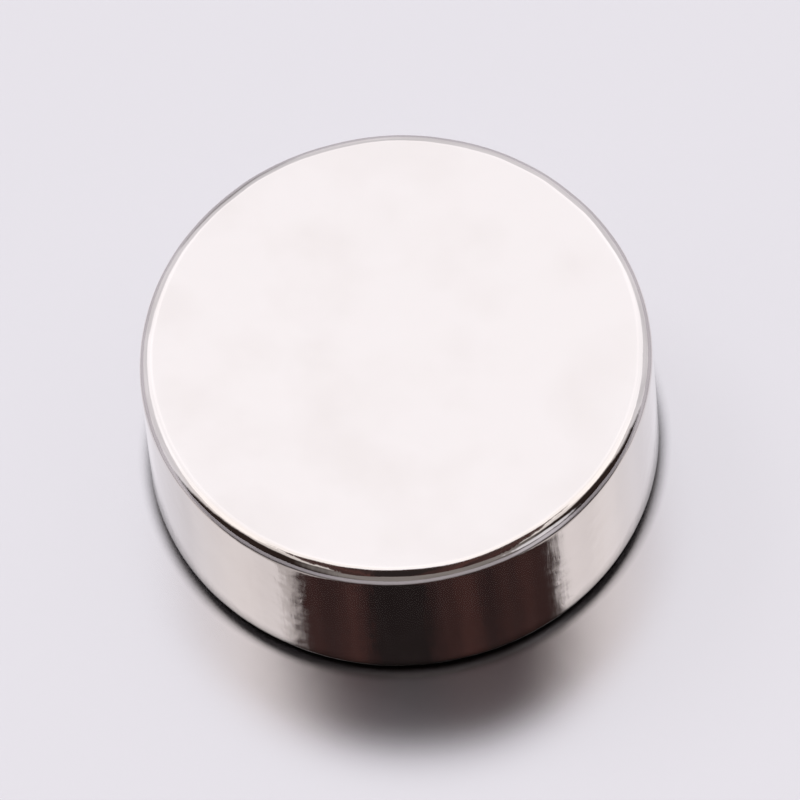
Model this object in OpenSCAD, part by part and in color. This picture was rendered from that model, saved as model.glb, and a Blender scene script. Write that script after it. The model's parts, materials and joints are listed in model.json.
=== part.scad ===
// Disc magnet: one sintered disc with rounded edges under a bright nickel plate.
// The plate is part of the disc, so the whole magnet is one solid.
// The disc lies on its lower face, with its axis upright through the origin.

/* [Disc] */
// Diameter over the plated rim
disc_d = 8; // [3:0.5:40]
// Thickness over the two plated faces
disc_t = 3; // [1:0.25:20]
// Radius that tumbling leaves on the upper and the lower edge
edge_r = 0.22; // [0.05:0.01:0.4]

/* [Hidden] */
$fn = 128;
rim_r = disc_d / 2;
rim_height = disc_t - 2 * edge_r;
face_r = rim_r - edge_r;
nickel = [0.86, 0.84, 0.83];

// Half of the section through the axis: a rectangle with two rounded outer corners
module half_section() {
    square([face_r, disc_t]);
    translate([0, edge_r]) square([rim_r, rim_height]);
    for (z = [edge_r, disc_t - edge_r])
        translate([face_r, z]) circle(r = edge_r);
}

// The magnet: the half section turned once about its axis
module magnet_disc() {
    color(nickel) rotate_extrude() half_section();
}

magnet_disc();
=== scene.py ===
"""A small disc magnet: a sintered disc with tumbled edges under a bright nickel plate."""
import json
import math

import bmesh
import bpy
from bpy.props import FloatProperty, FloatVectorProperty, IntProperty, PointerProperty
from mathutils import Matrix, Vector, noise


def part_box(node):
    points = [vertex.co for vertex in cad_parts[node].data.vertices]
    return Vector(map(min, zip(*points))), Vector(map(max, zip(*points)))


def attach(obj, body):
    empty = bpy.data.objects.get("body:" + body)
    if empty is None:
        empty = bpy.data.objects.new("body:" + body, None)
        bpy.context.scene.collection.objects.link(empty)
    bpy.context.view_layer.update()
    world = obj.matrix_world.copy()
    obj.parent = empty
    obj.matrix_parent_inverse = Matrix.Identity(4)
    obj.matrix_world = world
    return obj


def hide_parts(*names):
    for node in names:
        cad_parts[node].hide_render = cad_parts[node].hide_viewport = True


bl_info = {
    "name": "Disc magnet",
    "version": (1, 0, 0),
    "blender": (4, 5, 0),
    "location": "View3D > Sidebar > Disc magnet",
    "description": "A nickel-plated disc magnet on a pale studio floor",
    "category": "Add Mesh",
}

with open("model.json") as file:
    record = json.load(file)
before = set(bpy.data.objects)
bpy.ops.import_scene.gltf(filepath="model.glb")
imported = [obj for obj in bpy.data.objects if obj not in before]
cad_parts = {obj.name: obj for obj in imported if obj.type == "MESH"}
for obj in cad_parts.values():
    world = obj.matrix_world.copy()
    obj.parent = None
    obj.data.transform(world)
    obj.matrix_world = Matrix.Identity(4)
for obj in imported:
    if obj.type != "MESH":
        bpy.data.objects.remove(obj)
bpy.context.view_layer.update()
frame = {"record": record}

NODE = "magnet_disc"
BODY = "root"
DISC_NAME = "nickel_plated_disc"
BAKE_MAP = "OFBake"
# Vertex attribute: 1 in the middle of each rounded edge and 0 on the flats and the wall
ROUNDING = "rounding"
MM = 0.001
MICRON = 0.000001

low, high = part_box(NODE)
rim_mount = next(m for m in frame["record"]["mounts"] if m["name"] == "rim")
THICKNESS = high.z - low.z
RIM_RADIUS = rim_mount["dims"]["r_mm"] * MM
# The straight wall is what the two rounded edges leave of the thickness
EDGE_RADIUS = (THICKNESS - rim_mount["dims"]["length_mm"] * MM) / 2


def srgb(code):
    """Linear red, green and blue from an sRGB hex value such as "DDD8D5"."""
    shares = [int(code[i:i + 2], 16) / 255 for i in (0, 2, 4)]
    return tuple(c / 12.92 if c <= 0.04045 else ((c + 0.055) / 1.055) ** 2.4 for c in shares)


def rgba(colour):
    """A linear colour with the full alpha that a colour socket wants."""
    return (*colour, 1)


def add_node(tree, kind, links=(), fixed=(), **settings):
    """Add a node to a tree. A setting is the node's own where it has one of that name, else an input's.

    links pairs an input's name or index with the output socket that feeds it, and fixed pairs an
    input's index with its value."""
    node = tree.nodes.new(kind)
    for name, value in settings.items():
        if hasattr(node, name):
            setattr(node, name, value)
        else:
            node.inputs[name.replace("_", " ")].default_value = value
    for index, value in fixed:
        node.inputs[index].default_value = value
    for socket, source in links:
        tree.links.new(source, node.inputs[socket])
    return node


def empty_material(name):
    """A new material and its node tree, with no nodes in it yet."""
    material = bpy.data.materials.new(name)
    material.use_nodes = True
    material.node_tree.nodes.clear()
    return material, material.node_tree


class MagnetDiscSettings(bpy.types.PropertyGroup):
    """Colours, fineness and finish of the disc."""

    plate_colour: FloatVectorProperty(
        name="Plate colour", description="Colour of the nickel plate",
        subtype="COLOR", size=3, min=0, max=1, default=srgb("E1DCD9"))
    stain_colour: FloatVectorProperty(
        name="Stain colour", description="Colour of the plate where it is a little duller",
        subtype="COLOR", size=3, min=0, max=1, default=srgb("D9D3CF"))
    segments: IntProperty(
        name="Segments", description="Facets around the rim", default=384, min=64, max=720)
    arc_segments: IntProperty(
        name="Arc segments", description="Facets across each rounded edge",
        default=12, min=2, max=24)
    face_rings: IntProperty(
        name="Face rings", description="Rings from the axis to the rounded edge",
        default=52, min=1, max=90)
    wall_rings: IntProperty(
        name="Wall rings", description="Rings up the straight wall", default=34, min=1, max=90)
    waviness: FloatProperty(
        name="Waviness", description="Height of the long waves left by grinding",
        unit="LENGTH", subtype="DISTANCE", default=2.0 * MICRON, min=0, max=20 * MICRON, precision=6)
    edge_wander: FloatProperty(
        name="Edge wander",
        description="How far tumbling takes the rounded edges off a true arc",
        unit="LENGTH", subtype="DISTANCE", default=10 * MICRON, min=0, max=40 * MICRON, precision=6)
    wall_roughness: FloatProperty(
        name="Wall roughness", description="Roughness of the bright wall",
        subtype="FACTOR", min=0, max=1, default=0.05)
    face_roughness: FloatProperty(
        name="Face roughness", description="Roughness of the satin faces",
        subtype="FACTOR", min=0, max=1, default=0.14)
    peel_height: FloatProperty(
        name="Peel height", description="Depth of the orange peel",
        unit="LENGTH", subtype="DISTANCE", default=4.0 * MICRON, min=0, max=20 * MICRON, precision=6)
    flat_relief: FloatProperty(
        name="Flat relief", description="Share of the wall's relief that the ground flats have",
        subtype="FACTOR", min=0, max=1, default=0.45)


class MagnetStageSettings(bpy.types.PropertyGroup):
    """Floor, lights and camera."""

    floor_colour: FloatVectorProperty(
        name="Floor colour", description="Colour of the pale floor",
        subtype="COLOR", size=3, min=0, max=1, default=srgb("ECEAF1"))
    floor_gloss: FloatProperty(
        name="Floor gloss",
        description="Share of the floor that mirrors, seen in the metal from above",
        subtype="FACTOR", min=0, max=1, default=1.0)
    low_gloss: FloatProperty(
        name="Low gloss",
        description="Share of the floor that mirrors, seen from low down",
        subtype="FACTOR", min=0, max=1, default=0.56)
    floor_sheen: FloatProperty(
        name="Floor sheen",
        description="How much of either share is left where the floor is seen directly",
        subtype="FACTOR", min=0, max=1, default=0.84)
    # How far the painted shade at the foot of the disc reaches over the floor
    painted_foot_shade: FloatProperty(
        name="Foot shade",
        description="How far the shade at the foot of the disc reaches over the floor",
        unit="LENGTH", subtype="DISTANCE", default=0.26 * MM, min=0)
    elevation: FloatProperty(
        name="Elevation", description="Height of the camera above the horizon",
        subtype="ANGLE", default=math.radians(61))
    roll: FloatProperty(
        name="Roll", description="Turn of the camera about its line of sight",
        subtype="ANGLE", default=math.radians(6))
    distance: FloatProperty(
        name="Distance", description="From the camera to the magnet",
        unit="LENGTH", subtype="DISTANCE", default=0.32, min=0.05, max=2)
    frame_width: FloatProperty(
        name="Frame width", description="Width of the view at the magnet",
        unit="LENGTH", subtype="DISTANCE", default=0.0125, min=0.005, max=0.1)


def half_profile(settings):
    """The half section in a bmesh: from the axis along the lower face, up the wall and back to the axis."""
    bm = bmesh.new()
    # A ring close to each arc keeps the shading of the flats flat up to it
    arc_end = EDGE_RADIUS + 0.02 * MM
    places = (
        (0, low.z), (RIM_RADIUS - arc_end, low.z),
        (RIM_RADIUS, low.z), (RIM_RADIUS, low.z + arc_end),
        (RIM_RADIUS, high.z - arc_end), (RIM_RADIUS, high.z),
        (RIM_RADIUS - arc_end, high.z), (0, high.z))
    verts = [bm.verts.new((x, 0, z)) for x, z in places]
    for start, end in zip(verts, verts[1:]):
        bm.edges.new((start, end))
    corners = [verts[2], verts[5]]
    bmesh.ops.bevel(
        bm, geom=corners, offset=EDGE_RADIUS, offset_type="OFFSET", affect="VERTICES",
        segments=settings.arc_segments, profile=0.5, material=-1)
    straight = [e for e in bm.edges if e.calc_length() > 2 * EDGE_RADIUS]
    walls = [e for e in straight if abs(e.verts[0].co.z - e.verts[1].co.z) > EDGE_RADIUS]
    faces = [e for e in straight if e not in walls]
    bmesh.ops.subdivide_edges(bm, edges=walls, cuts=settings.wall_rings - 1)
    bmesh.ops.subdivide_edges(bm, edges=faces, cuts=settings.face_rings - 1)
    return bm


def wear(bm, settings):
    """Move each vertex along its normal by what grinding and tumbling leave, and mark the rounded edges."""
    bm.normal_update()
    mark = bm.verts.layers.float.new(ROUNDING)
    moved = []
    for vert in bm.verts:
        place = vert.co / MM
        # 0 on the wall and 1 on the flats, evenly along the arc between them
        share = math.asin(min(1, abs(vert.normal.z))) / (math.pi / 2)
        vert[mark] = 4 * share * (1 - share)
        # Waves 1.1 and 0.5 mm across, then dents 1.4 and 0.4 mm across that mostly go inwards. The
        # vectors keep the patterns apart
        waves = 0.7 * noise.noise(place / 1.1) + 0.3 * noise.noise(place / 0.5 + Vector((9, 4, 2)))
        dents = noise.noise(place / 1.4 + Vector((3, 8, 5))) + 0.5 * noise.noise(place / 0.4) - 0.4
        out = settings.waviness * waves + settings.edge_wander * vert[mark] * dents
        moved.append(vert.co + vert.normal * out)
    for vert, place in zip(bm.verts, moved):
        vert.co = place


def unwrap(bm):
    """Lay the two faces side by side in the disc's own UV map, and the halves of the wall above them."""
    sheet = 16.4 * MM
    # Upper face on the left, lower face on the right
    middle = {1: (4.1 * MM, 4.1 * MM), -1: (12.3 * MM, 4.1 * MM)}
    strip_start = 1.2 * MM
    strip_foot = 8.6 * MM
    strip_pitch = 3.7 * MM
    # Each rounded edge is cut in the middle of its arc
    disc_radius = RIM_RADIUS - EDGE_RADIUS * (1 - math.sin(math.pi / 4))
    uv = bm.loops.layers.uv.new(BAKE_MAP)
    for face in bm.faces:
        centre = face.calc_center_median()
        side = 1 if centre.z > (low.z + high.z) / 2 else -1
        if Vector((centre.x, centre.y)).length < disc_radius and abs(face.normal.z) > 0.5:
            for loop in face.loops:
                x, y = middle[side]
                loop[uv].uv = ((x + loop.vert.co.x) / sheet, (y + side * loop.vert.co.y) / sheet)
            continue
        turn = math.atan2(centre.y, centre.x)
        half = 0 if turn < 0 else 1
        for loop in face.loops:
            angle = math.atan2(loop.vert.co.y, loop.vert.co.x)
            # The seam's vertices take the side of the strip that their face is on
            if angle - turn > math.pi:
                angle -= 2 * math.pi
            elif turn - angle > math.pi:
                angle += 2 * math.pi
            along = (angle + math.pi * (1 - half)) * RIM_RADIUS + strip_start
            up = strip_foot + half * strip_pitch + (loop.vert.co.z - low.z)
            loop[uv].uv = (along / sheet, up / sheet)


def plated_disc(settings):
    """The disc's mesh: the half section spun once about the axis, closed at both poles."""
    bm = half_profile(settings)
    bmesh.ops.spin(
        bm, geom=bm.verts[:] + bm.edges[:], cent=(0, 0, 0), axis=(0, 0, 1),
        angle=2 * math.pi, steps=settings.segments, use_merge=True)
    bmesh.ops.remove_doubles(bm, verts=bm.verts[:], dist=0.1 * MICRON)
    bmesh.ops.recalc_face_normals(bm, faces=bm.faces[:])
    wear(bm, settings)
    unwrap(bm)
    for face in bm.faces:
        face.smooth = True
    mesh = bpy.data.meshes.new(DISC_NAME)
    bm.to_mesh(mesh)
    bm.free()
    return mesh


def nickel_plate(settings):
    """Bright electroplated nickel over a ground and tumbled disc.

    The eye gets a warm silver mirror, a little hazy on the ground flats and sharp on the wall and the
    rounded edges, with orange peel that makes mirrored edges ragged and fine lines up the wall."""
    material, tree = empty_material("bright_nickel_plate")
    place = add_node(tree, "ShaderNodeTexCoord").outputs["Object"]
    rounding = add_node(tree, "ShaderNodeAttribute", attribute_name=ROUNDING).outputs["Fac"]
    # Orange peel, 0.3 mm from crest to crest
    peel = add_node(
        tree, "ShaderNodeTexNoise", links=[("Vector", place)], Scale=1 / (0.3 * MM), Detail=1.0)
    # Lines up the wall, 0.14 mm apart and ten times as long. On the flats they are plain mottling
    upright = add_node(tree, "ShaderNodeMapping", links=[("Vector", place)], Scale=(1, 1, 0.1))
    lines = add_node(
        tree, "ShaderNodeTexNoise", links=[("Vector", upright.outputs["Vector"])],
        Scale=1 / (0.14 * MM), Detail=2.0)
    # Grain of the plate. The real one is some 5 microns, and this is 45, so that it shows
    grain = add_node(
        tree, "ShaderNodeTexNoise", links=[("Vector", place)], Scale=1 / (0.045 * MM), Detail=1.0)
    # Hairlines from handling, 0.03 mm wide and 1 to 2 mm long, in two directions
    hairs = []
    for angle in (0.5, 2.1):
        turned = add_node(
            tree, "ShaderNodeMapping", links=[("Vector", place)],
            Rotation=(0, 0, angle), Scale=(1, 0.03, 0.3))
        strands = add_node(
            tree, "ShaderNodeTexNoise", links=[("Vector", turned.outputs["Vector"])],
            Scale=1 / (0.06 * MM), Detail=0.0)
        hairs.append(add_node(
            tree, "ShaderNodeMapRange", links=[("Value", strands.outputs["Fac"])],
            From_Min=0.72, From_Max=0.80, To_Min=0.0, To_Max=1.0))
    marks = add_node(
        tree, "ShaderNodeMath", links=[(0, hairs[0].outputs["Result"]), (1, hairs[1].outputs["Result"])],
        operation="MAXIMUM")
    # Heights in microns, one on top of the other: orange peel, lines, grain and hairlines
    height = add_node(
        tree, "ShaderNodeMath", links=[(0, peel.outputs["Fac"])],
        fixed=[(1, round(settings.peel_height / MICRON, 2))], operation="MULTIPLY")
    layers = ((lines.outputs["Fac"], 2.0), (grain.outputs["Fac"], 0.12), (marks.outputs["Value"], -0.2))
    for source, microns in layers:
        height = add_node(
            tree, "ShaderNodeMath", links=[(0, source), (2, height.outputs["Value"])],
            fixed=[(1, microns)], operation="MULTIPLY_ADD")
    # The ground flats have a shallower relief and more haze than the wall. The normal tells them apart
    tilt = add_node(tree, "ShaderNodeSeparateXYZ", links=[
        ("Vector", add_node(tree, "ShaderNodeTexCoord").outputs["Normal"])])
    level = add_node(tree, "ShaderNodeMath", links=[(0, tilt.outputs["Z"])], operation="ABSOLUTE")
    depth = add_node(
        tree, "ShaderNodeMapRange", links=[("Value", level.outputs["Value"])],
        From_Min=0.7, From_Max=1.0, To_Min=1.0, To_Max=settings.flat_relief)
    relief = add_node(
        tree, "ShaderNodeBump",
        links=[("Height", height.outputs["Value"]), ("Strength", depth.outputs["Result"])],
        Distance=MICRON)
    # Stains, 1.6 mm across, that are only just duller
    clouds = add_node(
        tree, "ShaderNodeTexNoise", links=[("Vector", place)], Scale=1 / (1.6 * MM), Detail=3.0)
    stain = add_node(
        tree, "ShaderNodeMapRange", links=[("Value", clouds.outputs["Fac"])],
        From_Min=0.45, From_Max=0.75, To_Min=0.0, To_Max=0.6)
    tint = add_node(
        tree, "ShaderNodeMix", links=[("Factor", stain.outputs["Result"])], data_type="RGBA",
        fixed=[(6, rgba(settings.plate_colour)), (7, rgba(settings.stain_colour))])
    finish = add_node(
        tree, "ShaderNodeMapRange", links=[("Value", level.outputs["Value"])],
        From_Min=0.7, From_Max=1.0, To_Min=settings.wall_roughness, To_Max=settings.face_roughness)
    haze = add_node(
        tree, "ShaderNodeMapRange", links=[("Value", lines.outputs["Fac"])],
        From_Min=0.3, From_Max=0.7, To_Min=-0.01, To_Max=0.02)
    roughness = add_node(
        tree, "ShaderNodeMath", links=[(0, finish.outputs["Result"]), (1, haze.outputs["Result"])],
        operation="ADD")
    # Tumbling polishes the rounded edges a little further
    polished = add_node(
        tree, "ShaderNodeMath", links=[(0, rounding), (2, roughness.outputs["Value"])],
        fixed=[(1, -0.02)], operation="MULTIPLY_ADD")
    plate = add_node(
        tree, "ShaderNodeBsdfPrincipled",
        links=[("Base Color", tint.outputs[2]), ("Roughness", polished.outputs["Value"]),
               ("Normal", relief.outputs["Normal"])],
        Metallic=1.0)
    add_node(tree, "ShaderNodeOutputMaterial", links=[("Surface", plate.outputs["BSDF"])])
    return material


class MagnetAddDisc(bpy.types.Operator):
    """Add the nickel-plated disc in place of the plain one"""

    bl_idname = "magnet.add_disc"
    bl_label = "Add disc"

    def execute(self, context):
        settings = context.scene.magnet_disc
        disc = bpy.data.objects.new(DISC_NAME, plated_disc(settings))
        context.scene.collection.objects.link(disc)
        disc.data.materials.append(nickel_plate(settings))
        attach(disc, BODY)
        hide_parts(NODE)
        return {"FINISHED"}


def plane_object(name, width, depth, matrix, material):
    """A flat stage piece, facing its own +Z, with its place in its mesh."""
    bm = bmesh.new()
    bmesh.ops.create_grid(bm, x_segments=1, y_segments=1, size=0.5)
    bmesh.ops.scale(bm, vec=(width, depth, 1), verts=bm.verts[:])
    bmesh.ops.transform(bm, matrix=matrix, verts=bm.verts[:])
    mesh = bpy.data.meshes.new(name)
    bm.to_mesh(mesh)
    bm.free()
    mesh.materials.append(material)
    made = bpy.data.objects.new(name, mesh)
    bpy.context.scene.collection.objects.link(made)
    return made


def heading(azimuth, elevation):
    """A unit vector towards an azimuth and elevation in radians.

    Azimuth 0 is at -Y, in front of the disc, and 90 degrees is at +X."""
    return Vector((
        math.sin(azimuth) * math.cos(elevation),
        -math.cos(azimuth) * math.cos(elevation),
        math.sin(elevation)))


def aimed(azimuth, elevation, distance, target):
    """A matrix that looks at a target along its -Z, from an azimuth and elevation in radians."""
    back = heading(azimuth, elevation)
    turn = (-back).to_track_quat("-Z", "Y").to_matrix().to_4x4()
    return Matrix.Translation(target + back * distance) @ turn


def studio_air():
    """Bright air all round, and warmer in front.

    Low down in front is a dark room, with a paler middle and a window in it, and behind is a small
    grey patch."""
    world = bpy.data.worlds.new("studio_air")
    world.use_nodes = True
    tree = world.node_tree
    tree.nodes.clear()
    towards = add_node(tree, "ShaderNodeTexCoord").outputs["Generated"]
    height = add_node(tree, "ShaderNodeSeparateXYZ", links=[("Vector", towards)]).outputs["Z"]
    cool, warm, dark = (rgba(srgb(code)) for code in ("F6F4FA", "FBF4F1", "322825"))
    # Each round patch, laid over the one before: azimuth and elevation of its middle, the angles from
    # there where it is full and where it ends, the elevation above which it is gone, its strength and
    # its colour
    patches = (
        (0, 30, 62, 86, 90, 1.0, warm),
        (3, -20, 88, 98, 48, 1.0, dark),
        (3, 25, 24, 44, 90, 0.28, warm),
        (45, 15, 7, 15, 90, 1.0, cool),
        (200, 5, 4, 13, 90, 0.55, dark),
    )
    soft_rim = 8
    shade = None
    for azimuth, elevation, full, end, top, strength, colour in patches:
        nearness = add_node(
            tree, "ShaderNodeVectorMath", links=[(0, towards)], operation="DOT_PRODUCT",
            fixed=[(1, heading(math.radians(azimuth), math.radians(elevation)))])
        share = add_node(
            tree, "ShaderNodeMapRange", links=[("Value", nearness.outputs["Value"])],
            interpolation_type="SMOOTHSTEP", From_Min=math.cos(math.radians(end)),
            From_Max=math.cos(math.radians(full)), To_Min=0.0, To_Max=strength)
        below = add_node(
            tree, "ShaderNodeMapRange", links=[("Value", height), ("To Max", share.outputs["Result"])],
            interpolation_type="SMOOTHSTEP", From_Min=math.sin(math.radians(top)),
            From_Max=math.sin(math.radians(top - soft_rim)), To_Min=0.0)
        links = [("Factor", below.outputs["Result"])] + ([(6, shade)] if shade else [])
        shade = add_node(
            tree, "ShaderNodeMix", data_type="RGBA", fixed=[(6, cool), (7, colour)], links=links).outputs[2]
    # Soft uneven tones, in columns some 15 degrees wide, from a fifth darker to hardly brighter
    columns = add_node(tree, "ShaderNodeMapping", links=[("Vector", towards)], Scale=(1, 1, 0.15))
    tones = add_node(
        tree, "ShaderNodeTexNoise", links=[("Vector", columns.outputs["Vector"])], Scale=5.0, Detail=1.0)
    strength = add_node(
        tree, "ShaderNodeMapRange", links=[("Value", tones.outputs["Fac"])],
        From_Min=0.3, From_Max=0.7, To_Min=0.81, To_Max=1.02)
    background = add_node(
        tree, "ShaderNodeBackground", links=[("Color", shade), ("Strength", strength.outputs["Result"])])
    add_node(tree, "ShaderNodeOutputWorld", links=[("Surface", background.outputs["Background"])])
    return world


def floor_material(settings):
    """A pale plastic sheet with a satin finish.

    The eye gets an even pale tone with a soft dark reflection under the disc. It mirrors more when it
    is looked down on, and metal that stands on it sees a fuller and sharper mirror than the eye does."""
    material, tree = empty_material("pale_satin_floor")
    facing = add_node(tree, "ShaderNodeLayerWeight", Blend=0.5).outputs["Facing"]
    seen = add_node(tree, "ShaderNodeLightPath").outputs["Is Camera Ray"]
    mirror = add_node(
        tree, "ShaderNodeMapRange", links=[("Value", facing)],
        From_Min=0.35, From_Max=0.65, To_Min=settings.floor_gloss, To_Max=settings.low_gloss)
    keep = add_node(
        tree, "ShaderNodeMapRange", links=[("Value", seen)],
        To_Min=1.0, To_Max=settings.floor_sheen)
    share = add_node(
        tree, "ShaderNodeMath", links=[(0, mirror.outputs["Result"]), (1, keep.outputs["Result"])],
        operation="MULTIPLY")
    haze = add_node(
        tree, "ShaderNodeMapRange", links=[("Value", facing)],
        From_Min=0.2, From_Max=0.6, To_Min=0.1, To_Max=0.2)
    # Where the sheet is seen directly it is this much rougher
    blur = add_node(
        tree, "ShaderNodeMath", links=[(0, seen), (2, haze.outputs["Result"])],
        fixed=[(1, 0.15)], operation="MULTIPLY_ADD")
    matte = add_node(tree, "ShaderNodeBsdfDiffuse", Color=rgba(settings.floor_colour))
    gloss = add_node(
        tree, "ShaderNodeBsdfAnisotropic", links=[("Roughness", blur.outputs["Value"])],
        distribution="BECKMANN", Color=rgba(srgb("CFCDCF")))
    mixed = add_node(
        tree, "ShaderNodeMixShader",
        links=[(0, share.outputs["Value"]), (1, matte.outputs["BSDF"]), (2, gloss.outputs["BSDF"])])
    # Painted shade in the narrow wedge where the disc's rounded foot meets the sheet: a near-black matte is
    # mixed in where little is open around the floor. The light comes from behind, so openness is taken
    # about a line that leans back by 30 degrees
    lean = add_node(tree, "ShaderNodeCombineXYZ", X=0.0, Y=0.5, Z=0.866)
    openness = add_node(
        tree, "ShaderNodeAmbientOcclusion", links=[("Normal", lean.outputs["Vector"])], samples=6,
        Distance=settings.painted_foot_shade)
    clear = add_node(
        tree, "ShaderNodeMapRange", links=[("Value", openness.outputs["AO"])],
        From_Min=0.42, From_Max=0.88)
    shade = add_node(tree, "ShaderNodeBsdfDiffuse", Color=rgba(srgb("100D0C")))
    with_painted_shade = add_node(
        tree, "ShaderNodeMixShader",
        links=[(0, clear.outputs["Result"]), (1, shade.outputs["BSDF"]), (2, mixed.outputs["Shader"])])
    add_node(tree, "ShaderNodeOutputMaterial", links=[("Surface", with_painted_shade.outputs["Shader"])])
    return material


def glowing_card_material(name, hollow, crest):
    """A flat dark card with a painted glow: it gives out a dim even tone, with painted fold shading in
    stripes some 60 mm across.

    The eye only gets it in the metal, as soft dark stripes."""
    material, tree = empty_material(name)
    place = add_node(tree, "ShaderNodeTexCoord").outputs["Object"]
    # Painted fold shading: the card is flat, and noise across it mixes the hollow and crest tones
    across = add_node(tree, "ShaderNodeMapping", links=[("Vector", place)], Scale=(1, 0, 0))
    painted_folds = add_node(
        tree, "ShaderNodeTexNoise", links=[("Vector", across.outputs["Vector"])],
        Scale=1 / (60 * MM), Detail=2.0)
    crests = add_node(
        tree, "ShaderNodeMapRange", links=[("Value", painted_folds.outputs["Fac"])], From_Min=0.35, From_Max=0.65)
    cloth = add_node(
        tree, "ShaderNodeMix", links=[("Factor", crests.outputs["Result"])], data_type="RGBA",
        fixed=[(6, rgba(hollow)), (7, rgba(crest))])
    # Painted glow: the card is no lamp, yet it gives out its own dim tone
    glow = add_node(tree, "ShaderNodeEmission", links=[("Color", cloth.outputs[2])])
    add_node(tree, "ShaderNodeOutputMaterial", links=[("Surface", glow.outputs["Emission"])])
    return material


def softbox(name, place, direction, width, depth, radiance, colour):
    """A rectangular area light at a place, facing a direction. Radiance is what a mirror shows of it."""
    data = bpy.data.lights.new(name, "AREA")
    data.shape = "RECTANGLE"
    data.size = width
    data.size_y = depth
    data.energy = radiance * math.pi * width * depth
    data.color = colour
    made = bpy.data.objects.new(name, data)
    turn = Vector(direction).to_track_quat("-Z", "Y").to_matrix().to_4x4()
    made.matrix_world = Matrix.Translation(place) @ turn
    made.visible_camera = False
    bpy.context.scene.collection.objects.link(made)
    return made


class MagnetAddStage(bpy.types.Operator):
    """Add the floor, the lights and the camera"""

    bl_idname = "magnet.add_stage"
    bl_label = "Add stage"

    def execute(self, context):
        scene = context.scene
        settings = scene.magnet_stage
        middle = Vector((0, 0, low.z + THICKNESS / 2))
        # The sheet lies clear of the disc by more than its waviness, and off centre, so that the line
        # between the sheet's two triangles passes well away from the disc
        floor_side, floor_shift, floor_gap = 4, 0.5, 2 * MICRON
        plane_object(
            "pale_floor", floor_side, floor_side,
            Matrix.Translation((floor_shift, 0, low.z - floor_gap)), floor_material(settings))
        # Each softbox: place, direction, width, depth, radiance and colour. The lamp lights the matte
        # part of the sheet alone, because nothing that mirrors sees it
        softbox("overhead_panel", (0, 0.31, 0.7), (0, 0, -1), 1.6, 0.95, 0.466, srgb("FDFDFF"))
        key = softbox(
            "key_lamp", (-0.30, 0.30, 0.45), (0.30, -0.30, -0.45), 0.22, 0.22, 8.0, srgb("FDFCFF"))
        key.visible_glossy = False
        # Dark cards whose dim tone is a painted glow with painted fold shading
        brown = glowing_card_material("brown_glowing_card", srgb("332A2A"), srgb("583D39"))
        black = glowing_card_material("black_glowing_card", srgb("282323"), srgb("332C2B"))
        # Each card: cloth, azimuth and elevation in degrees, distance, width and height
        cards = (
            ("upper_card", brown, 4, 61, 0.55, 0.535, 0.513),
            ("lens_card", black, -10, 58, 0.45, 0.10, 0.34),
        )
        for name, cloth, azimuth, elevation, distance, width, height in cards:
            place = aimed(math.radians(azimuth), math.radians(elevation), distance, middle)
            board = plane_object(name, width, height, place, cloth)
            board.visible_camera = False
        scene.world = studio_air()
        camera = bpy.data.cameras.new("macro_camera")
        sensor_mm = 36
        camera.sensor_width = sensor_mm
        camera.lens = sensor_mm * settings.distance / settings.frame_width
        camera.clip_start = 0.01
        camera.clip_end = 10
        holder = bpy.data.objects.new("macro_camera", camera)
        roll = Matrix.Rotation(-settings.roll, 4, "Z")
        holder.matrix_world = aimed(0, settings.elevation, settings.distance, middle) @ roll
        scene.collection.objects.link(holder)
        scene.camera = holder
        scene.view_settings.view_transform = "Standard"
        return {"FINISHED"}


class MagnetPanel(bpy.types.Panel):
    """Sidebar panel for the magnet and its stage"""

    bl_idname = "VIEW3D_PT_disc_magnet"
    bl_label = "Disc magnet"
    bl_space_type = "VIEW_3D"
    bl_region_type = "UI"
    bl_category = "Disc magnet"

    def draw(self, context):
        groups = (("magnet_disc", "magnet.add_disc"), ("magnet_stage", "magnet.add_stage"))
        for group, operator in groups:
            settings = getattr(context.scene, group)
            box = self.layout.box()
            for name in settings.__annotations__:
                box.prop(settings, name)
            box.operator(operator)


CLASSES = (MagnetDiscSettings, MagnetStageSettings, MagnetAddDisc, MagnetAddStage, MagnetPanel)


def register():
    for cls in CLASSES:
        bpy.utils.register_class(cls)
    bpy.types.Scene.magnet_disc = PointerProperty(type=MagnetDiscSettings)
    bpy.types.Scene.magnet_stage = PointerProperty(type=MagnetStageSettings)


def unregister():
    del bpy.types.Scene.magnet_stage
    del bpy.types.Scene.magnet_disc
    for cls in reversed(CLASSES):
        bpy.utils.unregister_class(cls)


def main():
    register()
    bpy.ops.magnet.add_disc()
    bpy.ops.magnet.add_stage()


if __name__ == "__main__":
    main()
